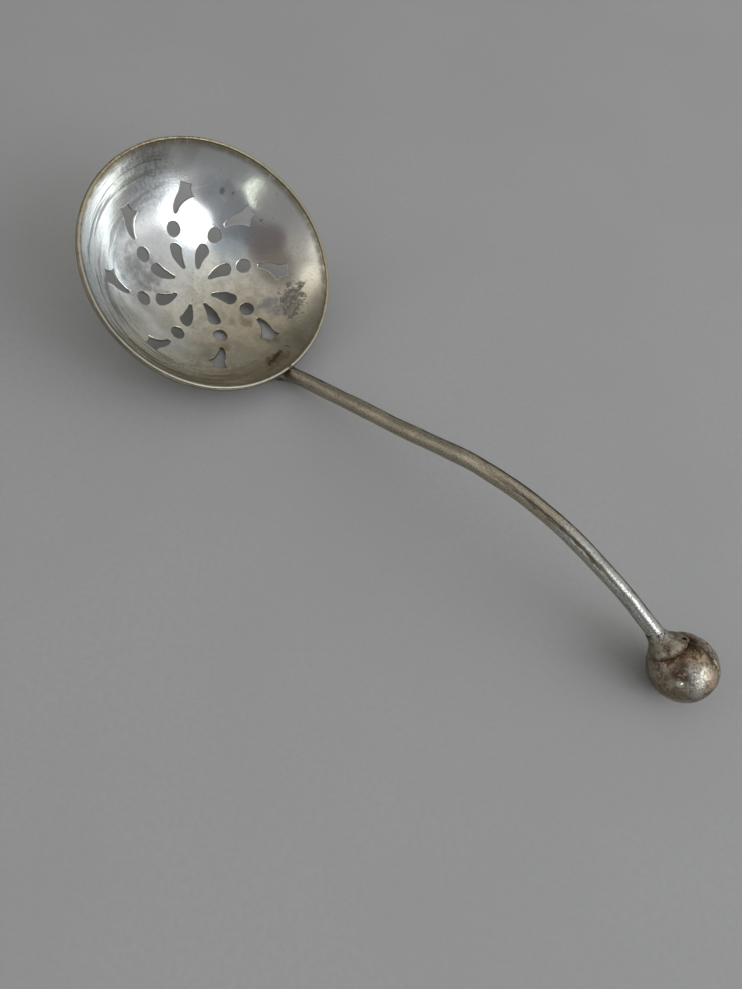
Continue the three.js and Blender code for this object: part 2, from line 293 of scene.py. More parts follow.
def sheet_points(flat, depth):
    """Points of the hammered sheet, for places on the sheet laid flat, and depths from its
    inside. A place's distance from the middle is the arc from the bowl's lowest point."""
    arc = np.linalg.norm(flat, axis=1)
    angle = arc / inner_radius
    turn = np.arctan2(flat[:, 1], flat[:, 0])
    direction = np.column_stack((np.sin(angle)[:, None] * circle(turn), -np.cos(angle)))
    calm = 1 - smooth_step(24.0, 31.0, arc)
    strain = hammering(direction * inner_radius) * calm
    return sphere_centre + lean_over(direction * (inner_radius + depth + strain)[:, None])


def sheet_normals(flat, depth):
    step = 0.05
    here = sheet_points(flat, depth)
    right = sheet_points(flat + [step, 0], depth) - here
    ahead = sheet_points(flat + [0, step], depth) - here
    return unit(np.cross(right, ahead))


def curved(size, points):
    """Curves through every second point, in shares of a size, each bent towards the next point."""
    points = np.array(points) * size
    share = np.linspace(0, 1, 12)[:, None]
    curves = []
    for i in range(0, len(points) - 2, 2):
        start, bend, end = points[i:i + 3]
        curves.append((1 - share) ** 2 * start + 2 * share * (1 - share) * bend + share**2 * end)
    return np.concatenate(curves)


def petal_outline():
    """A blunt tip, one side that swells late, and another that is full from early on."""
    tip = petal_tip_width / petal_width
    return curved((petal_length, petal_width / 2), (
        (0, -0.7 * tip), (0.36, -0.3), (0.67, -0.96), (0.78, -1.17), (0.89, -0.62), (1.02, 0),
        (0.97, 0.62), (0.94, 1), (0.78, 1.08), (0.45, 1.4), (0, 0.8 * tip), (-0.06, 0),
        (0, -0.7 * tip),
    ))


def round_outline():
    return round_hole_diameter / 2 * circle(np.linspace(0, 2 * math.pi, 40))


def flower_outline():
    """A blunt tail towards the middle, and a head that swings aside and ends in three points."""
    return curved((flower_length, flower_head_width), (
        (0.02, 0.08), (0.36, 0.1), (0.62, -0.33), (0.74, -0.49), (0.99, -0.54), (0.87, -0.75),
        (0.83, -1.22), (0.76, -1.1), (0.62, -1.14), (0.5, -1.17), (0.43, -1.3), (0.42, -0.52),
        (-0.02, -0.07), (-0.04, 0), (0.02, 0.08),
    ))


def even_outline(outline):
    """The outline again with even steps, counter-clockwise."""
    ahead = np.roll(outline, -1, axis=0)
    if np.sum(outline[:, 0] * ahead[:, 1] - outline[:, 1] * ahead[:, 0]) < 0:
        outline = outline[::-1]
    closed = np.concatenate((outline, outline[:1]))
    lengths = np.linalg.norm(np.diff(closed, axis=0), axis=1)
    run = np.concatenate(([0], np.cumsum(lengths)))
    count = int(run[-1] / outline_step)
    places = np.arange(count) * run[-1] / count
    return np.column_stack([np.interp(places, run, closed[:, k]) for k in (0, 1)])


def turned_by(points, angle):
    cos, sin = math.cos(math.radians(angle)), math.sin(math.radians(angle))
    return points @ np.array([[cos, sin], [-sin, cos]])


def motif_ring(outline, tip_radius, first, strays, swings):
    """Copies of an outline round the bowl's axis, as places on the sheet laid flat."""
    copies = []
    for i, (wander, swing) in enumerate(zip(strays, swings)):
        swung = turned_by(outline, swing) + [tip_radius, 0]
        seen = even_outline(turned_by(swung, first + i * 360 / motif_count + wander))
        reach = np.linalg.norm(seen, axis=1, keepdims=True)
        copies.append(seen * inner_radius * np.arcsin(reach / inner_radius) / reach)
    return copies


saw_marks = waves(30, 0.7, 2.5, 0.022, key=2)


def outward_normals(outline):
    """Directions away from a hole, into the metal."""
    tangent = np.roll(outline, -1, axis=0) - np.roll(outline, 1, axis=0)
    return unit(np.column_stack((tangent[:, 1], -tangent[:, 0])))


def is_inside(point, outline):
    x, y = point
    ahead = np.roll(outline, -1, axis=0)
    crosses = (outline[:, 1] > y) != (ahead[:, 1] > y)
    rise = np.where(crosses, ahead[:, 1] - outline[:, 1], 1)
    at = outline[:, 0] + (y - outline[:, 1]) / rise * (ahead[:, 0] - outline[:, 0])
    return np.count_nonzero(crosses & (x < at)) % 2 == 1


# From the inside of the sheet to its outside, at a hole: distance into the metal, depth
hole_rounding = ((0.26, 0.0), (0.15, 0.02), (0.06, 0.07), (0.015, 0.14), (0.0, 0.22), (0.0, 0.64),
                 (0.03, 0.72), (0.1, 0.78), (0.26, 0.8))
# Over the edge, from the inside to the outside, the solder that holds the rim wire: radius,
# height from the wire's middle, depth in the sheet
edge_solder = ((26.33, -0.36, 0.1), (26.78, -0.3, 0.5), (26.93, -0.42, 0.7), (26.99, -0.62, 0.8))


def flat_pattern(outlines, edge_arc):
    """The sheet laid flat: places, triangles, and the rows of places round the holes and the edge."""
    boundaries = [edge_arc * circle(all_round(rim_steps))] + outlines
    near = np.concatenate(outlines)
    rings = []
    ring_count = int(edge_arc / grid_step)
    for k in range(ring_count):
        arc = (k + 0.5) * edge_arc / ring_count
        count = max(3, int(2 * math.pi * arc / grid_step))
        rings.append(arc * circle(all_round(count, 0.5 * (k % 2))))
    grid = np.concatenate(rings)
    gaps = np.min(np.linalg.norm(grid[:, None, :] - near[None, :, :], axis=2), axis=1)
    grid = grid[gaps > least_gap]
    grid = np.array([p for p in grid if not any(is_inside(p, o) for o in outlines)])
    places = np.concatenate(boundaries + [grid])
    rows, edges = [], []
    owner = np.full(len(places), -1)
    start = 0
    for number, boundary in enumerate(boundaries):
        row = list(range(start, start + len(boundary)))
        edges += zip(row, row[1:] + row[:1])
        rows.append(row)
        owner[row] = number
        start += len(boundary)
    result = delaunay_2d_cdt([Vector(p) for p in places], edges, [], 0, 1e-6)
    source = [ids[0] for ids in result[3]]
    triangles = []
    for face in result[2]:
        corners = tuple(source[v] for v in face)
        number = owner[corners[0]]
        if number > 0 and all(owner[c] == number for c in corners):
            if is_inside(places[list(corners)].mean(axis=0), boundaries[number]):
                continue
        triangles.append(corners)
    return places, triangles, rows[1:], rows[0]


def flat_marks(flat, depth):
    """Where a place is on the bowl seen from its mouth, in rim radii, and how deep it lies."""
    arc = np.linalg.norm(flat, axis=1)
    seen = inner_radius * np.sin(arc / inner_radius) / rim_line_radius
    scale = (seen / np.maximum(arc, 1e-6))[:, None]
    return np.column_stack((flat * scale, np.full(len(flat), depth / sheet_thickness)))


def make_bowl(material):
    motifs = [
        *motif_ring(petal_outline(), petal_tip_radius, *petal_ring),
        *motif_ring(round_outline(), round_hole_ring_radius, *hole_ring),
        *motif_ring(flower_outline(), flower_tip_radius, *flower_ring),
    ]
    sawn = [o + outward_normals(o) * saw_marks(np.pad(o, ((0, 0), (0, 1))))[:, None] for o in motifs]
    aways = [outward_normals(outline) for outline in sawn]
    widest = hole_rounding[0][0]
    inside_height = rim_wire_diameter / 2 - 0.03
    edge_arc = inner_radius * math.acos((sphere_height + inside_height) / inner_radius)
    boundaries = [o + widest * a for o, a in zip(sawn, aways)]
    flat, triangles, hole_rows, edge_row = flat_pattern(boundaries, edge_arc)

    count = len(flat)
    points = [sheet_points(flat, 0), sheet_points(flat, sheet_thickness)]
    marks = [flat_marks(flat, 0), flat_marks(flat, sheet_thickness)]
    faces = triangles + [tuple(count + v for v in face) for face in turned_over(triangles)]

    def new_row(row_points, row_marks):
        start = sum(len(known) for known in points)
        points.append(row_points)
        marks.append(row_marks)
        return range(start, start + len(row_points))

    for outline, away, row in zip(sawn, aways, hole_rows):
        upper = row
        for distance, depth in hole_rounding[1:-1]:
            place = outline + distance * away
            lower = new_row(sheet_points(place, depth), flat_marks(place, depth))
            faces += ring_faces(upper, lower)
            upper = lower
        faces += ring_faces(upper, [count + v for v in row])

    rim_circle = circle(all_round(rim_steps))
    level = np.ones(rim_steps)
    inner = edge_row
    for radius, height, depth in edge_solder:
        ring = np.column_stack((radius * rim_circle, height * level))
        share = radius / rim_line_radius
        ring_marks = np.column_stack((share * rim_circle, depth / sheet_thickness * level))
        outer = new_row(from_bowl_frame(ring), ring_marks)
        faces += ring_faces(outer, inner)
        inner = outer
    faces += ring_faces([count + v for v in edge_row], inner)

    points = np.maximum(np.concatenate(points), np.array(cad_box[0]) / MM)
    # No normal is given round the holes and over the edge, where the mesh has its own
    normals = np.zeros(points.shape)
    normals[:count] = sheet_normals(flat, 0)
    normals[count:2 * count] = -sheet_normals(flat, sheet_thickness)
    make_piece("sifter_bowl", points, faces, "bowl", material,
               {"flat": np.concatenate(marks)}, normals)


def make_rim_wire(material):
    """Round wire, bent round the edge and open over the handle, a little uneven by hand."""
    half_opening = rim_wire_opening / 2 / rim_line_radius
    turns = np.linspace(half_opening, 2 * math.pi - half_opening, rim_steps)
    sides = all_round(wire_sides)
    bend = waves(12, 6, 20, 0.03, key=3)
    thickness = waves(16, 2, 9, 0.018, key=4)
    rows, marks = [], []
    for k, turn in enumerate(turns):
        out = turned_to(ALONG, ACROSS, turn)
        place = rim_line_radius * out
        centre = place - abs(bend([place])[0]) * out
        radius = rim_wire_diameter / 2 - rim_wire_wear + min(0.03, thickness([place])[0])
        from_end = min(k, rim_steps - 1 - k)
        radius *= (0.55, 0.85, 1)[min(from_end, 2)]
        rows.append(from_bowl_frame(centre + radius * section_of(sides, out, UP)))
        marks.append(np.column_stack((np.tile(out[:2], (wire_sides, 1)), np.sin(sides))))
    points, faces = skin(rows)
    make_piece("rim_of_wire", points, turned_over(faces), "rim_wire", material,
               {"flat": np.concatenate(marks)})


# The handle


def handle_line(run):
    """The point and the upward direction at a distance along the handle from its root."""
    rise = root_overlap + rise_length
    arch = arch_radius * (rise_angle + fall_angle)
    past_arch = run - rise - arch
    upward = slope_upward(np.clip(rise_angle - (run - rise) / arch_radius, -fall_angle, rise_angle))
    if run <= rise:
        return root_point + (run - root_overlap) * slope_direction(rise_angle), upward
    if past_arch <= 0:
        return arch_centre + arch_radius * upward, upward
    return arch_end + past_arch * fall_direction, upward


# Where the real handle strays from its straight lines and arc: distance from the root, how far
# up and to the left it goes there, and over what length
handle_strays = ((34, -0.2, 0, 6), (50, 0.25, 0, 6), (79, -0.2, 0, 7), (92, 0.1, 0.25, 6.5))
thinnest_at = 92
handle_length = (root_overlap + rise_length + arch_radius * (rise_angle + fall_angle)
                 + fall_length - ball_radius + ball_wall + rod_insertion)


def swell(run, at, spread):
    return math.exp(-(((run - at) / spread) ** 2))


def stray(run, upward):
    return sum(swell(run, at, spread) * (up * upward + left * ACROSS)
               for at, up, left, spread in handle_strays)


def clear_of_bowl(points):
    """Moves points that are inside the bowl's wall out to the outside of the wall."""
    offset = points - sphere_centre
    distance = np.linalg.norm(offset, axis=1)
    axis = lean_over([[0, 0, -1]])[0]
    from_bottom = np.arccos(np.clip(offset @ axis / distance, -1, 1))
    touching = (distance < outer_radius + 0.02) & (from_bottom < outer_edge_angle + 0.01)
    grown = np.where(touching, (outer_radius + 0.02) / distance, 1)
    return sphere_centre + offset * grown[:, None]


def clear_of_table(points, clearance=rod_table_clearance):
    return np.maximum(points, (-math.inf, -math.inf, clearance))


def make_handle(material):
    sides = all_round(rod_sides)
    dents = waves(24, 3, 14, 0.025, key=5)
    rows, marks = [], []
    for run in np.linspace(0, handle_length, rod_steps):
        centre, upward = handle_line(run)
        centre = centre + stray(run, upward)
        radius = rod_radius - 0.03 - 0.09 * swell(run, thinnest_at, 7.0)
        section = section_of(sides, upward, ACROSS)
        dented = radius + np.minimum(dents(centre + rod_radius * section), 0.03)
        rows.append(clear_of_table(clear_of_bowl(centre + dented[:, None] * section)))
        marks.append(np.column_stack((np.full(rod_sides, run), circle(sides))))
    points, faces = skin(rows)
    make_piece("handle_of_wire", points, turned_over(faces), "handle_rod", material,
               {"run": np.concatenate(marks)})


def make_root_solder(material):
    """The fillet where the handle meets the bowl: a blunt end, then a hollow towards the rod."""
    start, length, spread = -1.8, 3.3, 0.99
    profile = []
    for angle in np.linspace(0.2, 1.4, 8):
        blunt = (rod_radius + spread) * math.sin(angle) ** 0.6
        profile.append((start - 0.55 * math.cos(angle), blunt))
    for share in np.linspace(0, 1, 26):
        profile.append((start + length * share, rod_radius - 0.06 + 1.05 * (1 - share) ** 2.4))
    lumps = waves(24, 0.9, 3.5, 0.1, key=6)
    section = section_of(all_round(solder_sides), slope_upward(rise_angle), -ACROSS)
    rows = []
    for distance, radius in profile:
        row = root_point + distance * slope_direction(rise_angle) + radius * section
        rows.append(row + lumps(row)[:, None] * section)
    points, faces = skin(rows)
    points = clear_of_table(clear_of_bowl(points))
    make_piece("solder_at_root", points, faces, "handle_root_solder", material)


# The ball


def round_trip(table, turns, blur):
    """Values round a circle, from a few angles and values, with the corners softened."""
    angles, values = np.array(table, float).T
    here = np.degrees(turns)
    steps = (-blur, 0, blur)
    return sum(np.interp(here + step, angles, values, period=360) for step in steps) / len(steps)


def seam_offset(turns):
    """How far the seam is from its plane, at angles from the handle over the top."""
    ragged = 0.05 * np.sin(19 * turns) + 0.04 * np.sin(31 * turns + 1.3)
    return round_trip(seam_strays, turns, 3) + ragged


def foot_reach(turns):
    """The angle at which the solder's foot ends, at angles from the top towards the left."""
    ragged = 0.7 * np.sin(17 * turns) + 0.5 * np.sin(29 * turns + 0.7)
    return np.radians(round_trip(foot_reaches, turns, 5) + ragged)


def round_handle(directions):
    """Angles round the handle's line, from the top towards the left."""
    return np.arctan2(directions @ ACROSS, directions @ over_handle)


def from_foot(directions):
    """How far outside the solder's foot a direction is, in mm over the ball."""
    from_handle = np.arccos(np.clip(directions @ to_handle, -1, 1))
    return (from_handle - foot_reach(round_handle(directions))) * ball_radius


def from_seam(directions):
    """How far from the seam's line a direction is, in mm, positive to the left."""
    turns = np.arctan2(directions @ seam_upward, directions @ to_handle)
    return directions @ seam_normal * ball_radius - seam_offset(turns)


def line_marks(points):
    """Distances from the solder's foot and from the seam, and the angle round the handle's line."""
    ways = unit(points - ball_centre)
    return np.column_stack((from_foot(ways), from_seam(ways), round_handle(ways)))


def from_vent(directions):
    return np.linalg.norm(directions - vent_direction, axis=1) * ball_radius


def vent_sink(directions, depth):
    return depth * (1 - smooth_step(0.5 * vent_radius, vent_radius, from_vent(directions)))


ball_dents = waves(40, 2.2, 9, 0.05, key=7)
seam_half_width = 0.14
# The seam's solder from right to left: how far below the ball's skin, how far from the line
seam_section = ((0.75, -0.3), (0.3, -0.24), (0.2, -0.1), (0.17, 0), (0.2, 0.1), (0.3, 0.24), (0.75, 0.3))


def ball_surface(directions, from_edge):
    """Distances of the ball's skin from its centre, with its dents, crevices and rolled edge."""
    dents = np.minimum(ball_dents(directions * ball_radius) - 0.04, 0)
    crevice = 0.16 * np.exp(-(((from_foot(directions) - 0.1) / 0.16) ** 2))
    edge = 0.26 * np.exp(-np.asarray(from_edge) / 0.13)
    return ball_radius + dents - crevice - edge - vent_sink(directions, 0.9)


def make_ball_half(name, node, side, material):
    """One hollow half: its skin from the pole to the seam, then back along its inside."""
    turns = all_round(ball_steps) * side
    outward = section_of(turns, to_handle, seam_upward)
    height = side * seam_offset(turns) + seam_half_width
    edge = np.arccos(height / ball_radius)
    rows = []

    def add_row(share, depth):
        angle = edge * share
        direction = np.sin(angle)[:, None] * outward + np.cos(angle)[:, None] * seam_normal * side
        from_edge = math.inf if depth else (edge - angle) * ball_radius
        radius = ball_surface(direction, from_edge) - depth
        rows.append(ball_centre + radius[:, None] * direction)

    for share in np.linspace(0, 1, ball_rings)[1:]:
        add_row(1 - (1 - share) ** 1.5, 0)
    for share in np.linspace(1, 0.02, 24):
        add_row(share, ball_wall)
    points, faces = skin(rows)
    points = clear_of_table(points, 0.03)
    make_piece(name, points, turned_over(faces), node, material,
               {"lines": line_marks(points)})


def make_ball_seam(material):
    """The solder that fills the groove between the halves, pitted by corrosion."""
    opening = math.asin((rod_radius + solder_gap) / ball_radius)
    turns = np.linspace(opening, 2 * math.pi - opening, 2 * ball_steps)
    outward = section_of(turns, to_handle, seam_upward)
    pits = waves(40, 0.5, 2, 0.05, key=8)
    sides = []
    for drop, off in seam_section:
        height = seam_offset(turns) + off
        reach = np.sqrt((ball_radius - drop) ** 2 - height**2)
        row = reach[:, None] * outward + height[:, None] * seam_normal
        rough = np.minimum(pits(row), 0.08) if drop < 0.5 else np.zeros(len(row))
        sides.append(ball_centre + row + rough[:, None] * outward)
    points, faces = skin(np.stack(sides, axis=1))
    make_piece("solder_of_seam", points, turned_over(faces), "ball_seam_solder",
               material, {"lines": line_marks(points)})


def make_ball_collar(material):
    """The cone of solder where the rod enters the ball, with a thin skirt that has the vent in it."""
    turns = all_round(collar_sides)
    outward = section_of(turns, over_handle, ACROSS)
    reach = foot_reach(turns)
    lumps = waves(30, 1.2, 5, 0.06, key=9)
    under_skin, top = ball_radius - 0.28, ball_radius + collar_length
    foot, thin, under = ball_radius + 0.11, rod_radius - 0.02, rod_radius - 0.08

    def row_at(height, radius):
        return ball_centre + height[:, None] * to_handle + radius[:, None] * outward

    def round_ball(angle, distance):
        return row_at(distance * np.cos(angle), distance * np.sin(angle))

    rows = [round_ball(reach + 0.01, under_skin), round_ball(reach + 0.005, ball_radius + 0.03)]
    for share in np.linspace(0, 1, 60):
        height = (1 - share) * foot * np.cos(reach) + share * top
        radius = thin + (foot * np.sin(reach) - thin) * (1 - share) ** collar_hollow
        row = row_at(height, radius)
        calm = smooth_step(0, 0.15, share) * (1 - smooth_step(0.7, 1, share))
        direction = unit(row - ball_centre)
        lip = 0.09 * np.exp(-(((from_vent(direction) - 0.6) / 0.14) ** 2))
        lift = calm * lumps(row) + lip - vent_sink(direction, 0.55)
        rows.append(row + lift[:, None] * direction)
    level = np.ones(collar_sides)
    rows.append(row_at(top * level, under * level))
    entry = math.asin(under / under_skin)
    for share in np.linspace(0, 1, 24):
        row = round_ball(entry + (reach - entry) * share, under_skin)
        direction = unit(row - ball_centre)
        rows.append(row - vent_sink(direction, 0.55)[:, None] * direction)
    points, faces = skin(rows, closed=True)
    make_piece("solder_collar", points, faces, "ball_collar", material,
               {"lines": line_marks(points)})


# Materials


# In these helpers, the first place or mask is always an output of another node


def feed(socket, value):
    if isinstance(value, bpy.types.NodeSocket):
        socket.id_data.links.new(value, socket)
    elif socket.type == "RGBA":
        socket.default_value = (*value, 1)
    else:
        socket.default_value = value


def add_node(tree, kind, feeds=None, **settings):
    made = tree.nodes.new("ShaderNode" + kind)
    for key, value in settings.items():
        setattr(made, key, value)
    for key, value in (feeds or {}).items():
        feed(made.inputs[key], value)
    return made


def vector_maths(operation, result="Vector"):
    """A function that works on places by an operation."""
    def work(*places):
        tree = places[0].id_data
        feeds = dict(enumerate(places))
        return add_node(tree, "VectorMath", feeds, operation=operation).outputs[result]

    return work


scaled = vector_maths("MULTIPLY")
minus = vector_maths("SUBTRACT")
way_to = vector_maths("NORMALIZE")
distance_from = vector_maths("DISTANCE", "Value")
length_of = vector_maths("LENGTH", "Value")
along = vector_maths("DOT_PRODUCT", "Value")


def part_of(place, axis):
    return add_node(place.id_data, "SeparateXYZ", {0: place}).outputs[axis]


def stretched(place, turn, scale):
    """The places turned about Z by an angle and scaled, for grain that runs one way."""
    feeds = {"Vector": place, "Angle": math.radians(turn)}
    turned = add_node(place.id_data, "VectorRotate", feeds, rotation_type="Z_AXIS")
    return scaled(turned.outputs["Vector"], scale)


def noise(place, scale, detail=3.0, rough=0.55, swirl=0.0):
    feeds = {"Vector": place, "Scale": scale, "Detail": detail, "Roughness": rough, "Distortion": swirl}
    return add_node(place.id_data, "TexNoise", feeds).outputs[0]


def maths(operation):
    """A function that joins values, one after another, by an operation."""
    def work(first, *others):
        for other in others:
            feeds = {0: first, 1: other}
            first = add_node(first.id_data, "Math", feeds, operation=operation).outputs[0]
        return first

    return work


plus = maths("ADD")
both = maths("MULTIPLY")
either = maths("MAXIMUM")
turn_of = maths("ARCTAN2")


def size_of(value):
    return either(value, both(value, -1))


def ramp(value, low, high, out_low=0.0, out_high=1.0):
    """A smooth ramp of a value from low to high. The low end may be the larger one."""
    feeds = {"Value": value, "From Min": low, "From Max": high, "To Min": out_low, "To Max": out_high}
    return add_node(value.id_data, "MapRange", feeds, interpolation_type="SMOOTHSTEP").outputs["Result"]


def oval(place, centre, turn, long, wide, ragged):
    """A mask like a spot, but long and narrow, its length turned by an angle."""
    apart = length_of(stretched(minus(place, centre), -turn, (1 / long, 1 / wide, 1)))
    return ramp(plus(apart, ragged), 1, 0.65)


def spot(place, centre, radius, fade, ragged=None):
    """A mask that is full at a centre and gone a radius away, its edge moved by noise."""
    apart = distance_from(place, centre)
    if ragged:
        apart = plus(apart, ragged)
    return ramp(apart, radius, radius * (1 - fade))


def scratches(place, scale, turns, width):
    """Thin lines at some angles: where a stretched noise passes its middle value."""
    lines = []
    for turn in turns:
        grain = stretched(place, turn, (scale, scale * 0.06, scale))
        off = size_of(plus(noise(grain, 1, detail=1), -0.5))
        wide = stretched(place, turn, (scale * 0.12,) * 3)
        lines.append(both(ramp(off, width, 0), ramp(noise(wide, 1), 0.5, 0.62)))
    return either(*lines)


class Recipe:
    """A material made up in layers, which change its colour, roughness and metal by masks."""

    def __init__(self, name, colour, roughness, metallic=1.0):
        self.material = bpy.data.materials.new(name)
        self.material.use_nodes = True
        self.tree = self.material.node_tree
        self.tree.nodes.clear()
        self.shader = add_node(self.tree, "BsdfPrincipled")
        output = add_node(self.tree, "OutputMaterial")
        feed(output.inputs["Surface"], self.shader.outputs["BSDF"])
        self.looks = {"Base Color": colour, "Roughness": roughness, "Metallic": metallic}

    def mark(self, name):
        """Places on the surface, as stored with the mesh."""
        return add_node(self.tree, "Attribute", attribute_name=name).outputs["Vector"]

    def here(self):
        """Places on the surface in the part's own frame, in mm."""
        return scaled(add_node(self.tree, "TexCoord").outputs["Object"], (1 / MM,) * 3)

    def layer(self, values, *masks):
        """Mixes in a colour, a roughness and a share of metal, as given, where the masks are."""
        mask = both(*masks)
        for look, value in zip(list(self.looks), values):
            kind, first, result = ("RGBA", 6, 2) if look == "Base Color" else ("FLOAT", 2, 0)
            feeds = {0: mask, first: self.looks[look], first + 1: value}
            self.looks[look] = add_node(self.tree, "Mix", feeds, data_type=kind).outputs[result]

    def relief(self, height, depth):
        """Raises the surface by a height from 0 to 1, times a depth in millimetres."""
        feeds = {"Height": height, "Strength": 1.0, "Distance": depth * MM}
        if "Normal" in self.looks:
            feeds["Normal"] = self.looks["Normal"]
        self.looks["Normal"] = add_node(self.tree, "Bump", feeds).outputs["Normal"]

    def finish(self):
        for look, value in self.looks.items():
            feed(self.shader.inputs[look], value)
        return self.material


silver = (0.65, 0.665, 0.675)
warm_silver = (0.64, 0.615, 0.54)
khaki = (0.47, 0.425, 0.33)
olive = (0.23, 0.19, 0.12)
brown = (0.2, 0.145, 0.085)
dark_pit = (0.035, 0.028, 0.022)
brass = (0.46, 0.41, 0.28)


def bowl_metal():
    """Silver plate: bright at the far side, khaki in the middle, olive brown towards the handle."""
    look = Recipe("worn_silver_plate", silver, 0.17)
    flat = look.mark("flat")
    seen = scaled(flat, (1, 1, 0))
    reach = length_of(seen)
    around = way_to(seen)
    polar = add_node(look.tree, "CombineXYZ", {
        0: both(part_of(around, 0), 1.4),
        1: both(part_of(around, 1), 1.4),
        2: both(reach, 28.0),
    }).outputs[0]
    strokes = noise(polar, 1, 3, 0.6)
    cloud = noise(flat, 2.2, 5, 0.6)
    smudge = noise(flat, 5, 5, 0.65)
    fine = noise(flat, 14, 4, 0.65)

    # The wall opposite the handle and to its left is the whitest
    far_side = ramp(along(flat, (-0.88, -0.48, 0)), 0.3, 0.6)
    look.layer(((0.78, 0.795, 0.805), 0.21), far_side, ramp(cloud, 0.35, 0.55, 0.4))
    grains = ramp(noise(flat, 34), 0.47, 0.57, 0.35, 0.9)
    look.layer(((0.38, 0.4, 0.43), 0.28), spot(seen, (-0.87, 0.08, 0), 0.3, 0.6), grains)

    # Tarnish fades with the distance from the handle, in rim radii
    from_root = plus(distance_from(seen, (1.14, -0.06, 0)), ramp(cloud, 0.3, 0.7, -0.13, 0.13))
    look.layer((warm_silver, 0.19), ramp(from_root, 1.48, 1.08))
    look.layer((khaki, 0.24), ramp(from_root, 1.1, 0.66))
    look.layer((olive, 0.3), ramp(from_root, 0.56, 0.16, 0, 0.8))
    less_far = ramp(part_of(flat, 1), 0.3, 0.7, 1, 0.25)
    mottle = both(ramp(from_root, 1.6, 0.9), ramp(fine, 0.38, 0.62, 0, 0.4), less_far)
    look.layer(((0.34, 0.29, 0.2), 0.32), mottle)
    dim = both(ramp(smudge, 0.48, 0.6), ramp(from_root, 1.6, 0.8, 0.1, 0.5), less_far)
    look.layer(((0.3, 0.27, 0.21), 0.32), dim)
    wiped = spot(seen, (0.14, -0.66, 0), 0.55, 0.9)
    look.layer(((0.7, 0.68, 0.61), 0.2), wiped, 0.7)

    # Stains inside the bowl: place in rim radii, radius, strength and colour
    ragged = ramp(noise(flat, 9, 6, 0.7), 0.2, 0.8, -0.6, 0.6)
    for x, y, radius, strength, colour in (
        (0.49, 0.14, 0.08, 0.6, brown),
        (0.42, 0.06, 0.06, 0.45, brown),
        (0.72, 0.16, 0.09, 0.75, (0.16, 0.13, 0.09)),
        (0.93, 0.25, 0.1, 0.5, (0.2, 0.17, 0.12)),
        (0.56, -0.17, 0.09, 0.55, olive),
        (0.5, -0.34, 0.11, 0.45, (0.25, 0.24, 0.2)),
        (0.13, -0.4, 0.11, 0.25, (0.25, 0.22, 0.16)),
        (0.78, 0.28, 0.13, 0.5, (0.22, 0.19, 0.14)),
        (-0.29, -0.33, 0.24, 0.85, (0.24, 0.245, 0.245)),
        (-0.42, -0.28, 0.12, 0.6, (0.36, 0.345, 0.33)),
        (-0.1, -0.3, 0.1, 0.5, (0.3, 0.29, 0.26)),
        (0.5, 0.4, 0.14, 0.75, (0.21, 0.22, 0.23)),
        (-0.47, 0.61, 0.035, 0.9, dark_pit),
        (-0.41, 0.68, 0.02, 0.7, dark_pit),
        (-0.11, 0.76, 0.015, 0.6, dark_pit),
        (-0.45, 0.64, 0.09, 0.5, (0.25, 0.25, 0.24)),
    ):
        stain = spot(seen, (x, y, 0), radius, 0.9, both(ragged, radius))
        look.layer((colour, 0.42), stain, strength)
    frayed = ramp(noise(flat, 20, 5, 0.7), 0.3, 0.7, -0.55, 0.55)
    look.layer(((0.22, 0.165, 0.1), 0.4), oval(seen, (0.885, 0.02, 0), 97, 0.14, 0.055, frayed))
    look.layer(((0.09, 0.07, 0.05), 0.45), oval(seen, (0.875, 0.04, 0), 97, 0.11, 0.022, frayed))
    worn_patch = oval(seen, (0.575, 0.535, 0), -45, 0.19, 0.09, frayed)
    blotches = ramp(noise(flat, 42), 0.4, 0.56, 0.55)
    look.layer(((0.2, 0.185, 0.16), 0.5), worn_patch, blotches)

    # Tiny brown pits, most of them in the middle
    middle = ramp(spot(seen, (0.02, 0, 0), 0.22, 0.8), 0, 1, 0.3)
    look.layer(((0.25, 0.15, 0.09), 0.5), ramp(noise(flat, 45, 2), 0.62, 0.7), middle)

    # Long marks of the hammer, parallel to the rim, dark on the far wall and brown on the near one
    far_wall = both(ramp(reach, 0.62, 0.8), ramp(along(flat, (-0.6, -0.8, 0)), 0.1, 0.5))
    near_wall = both(ramp(reach, 0.72, 0.88), ramp(along(flat, (0.7, -0.71, 0)), 0.4, 0.75))
    look.layer(((0.27, 0.27, 0.27), 0.3), far_wall, ramp(strokes, 0.52, 0.6, 0, 0.85))
    look.layer((olive, 0.38), near_wall, ramp(strokes, 0.5, 0.58, 0, 0.8))
    look.relief(both(either(far_wall, near_wall), strokes), 0.06)

    # The outside is darker than the inside: partly tarnish from handling, partly painted shade, as it
    # faces the table
    outside = ramp(part_of(flat, 2), 0.6, 0.9)
    look.layer(((0.38, 0.345, 0.27), 0.32), outside)
    look.layer(((0.25, 0.21, 0.15), 0.38), outside, ramp(smudge, 0.42, 0.6))

    # A thin olive line just inside the rim: partly painted shade in the crease under the rim wire,
    # partly grime, mottled
    look.layer((olive, 0.45), ramp(reach, 0.955, 0.985), ramp(fine, 0.3, 0.55, 0.3, 0.8))
    worn_lines = scratches(flat, 9.0, (12, 57, 101, 148), 0.006)
    look.layer(((0.9, 0.89, 0.87), 0.3), worn_lines, ramp(from_root, 0.8, 1.3, 0, 0.3))
    look.relief(smudge, 0.05)
    look.relief(fine, 0.012)
    return look.finish()


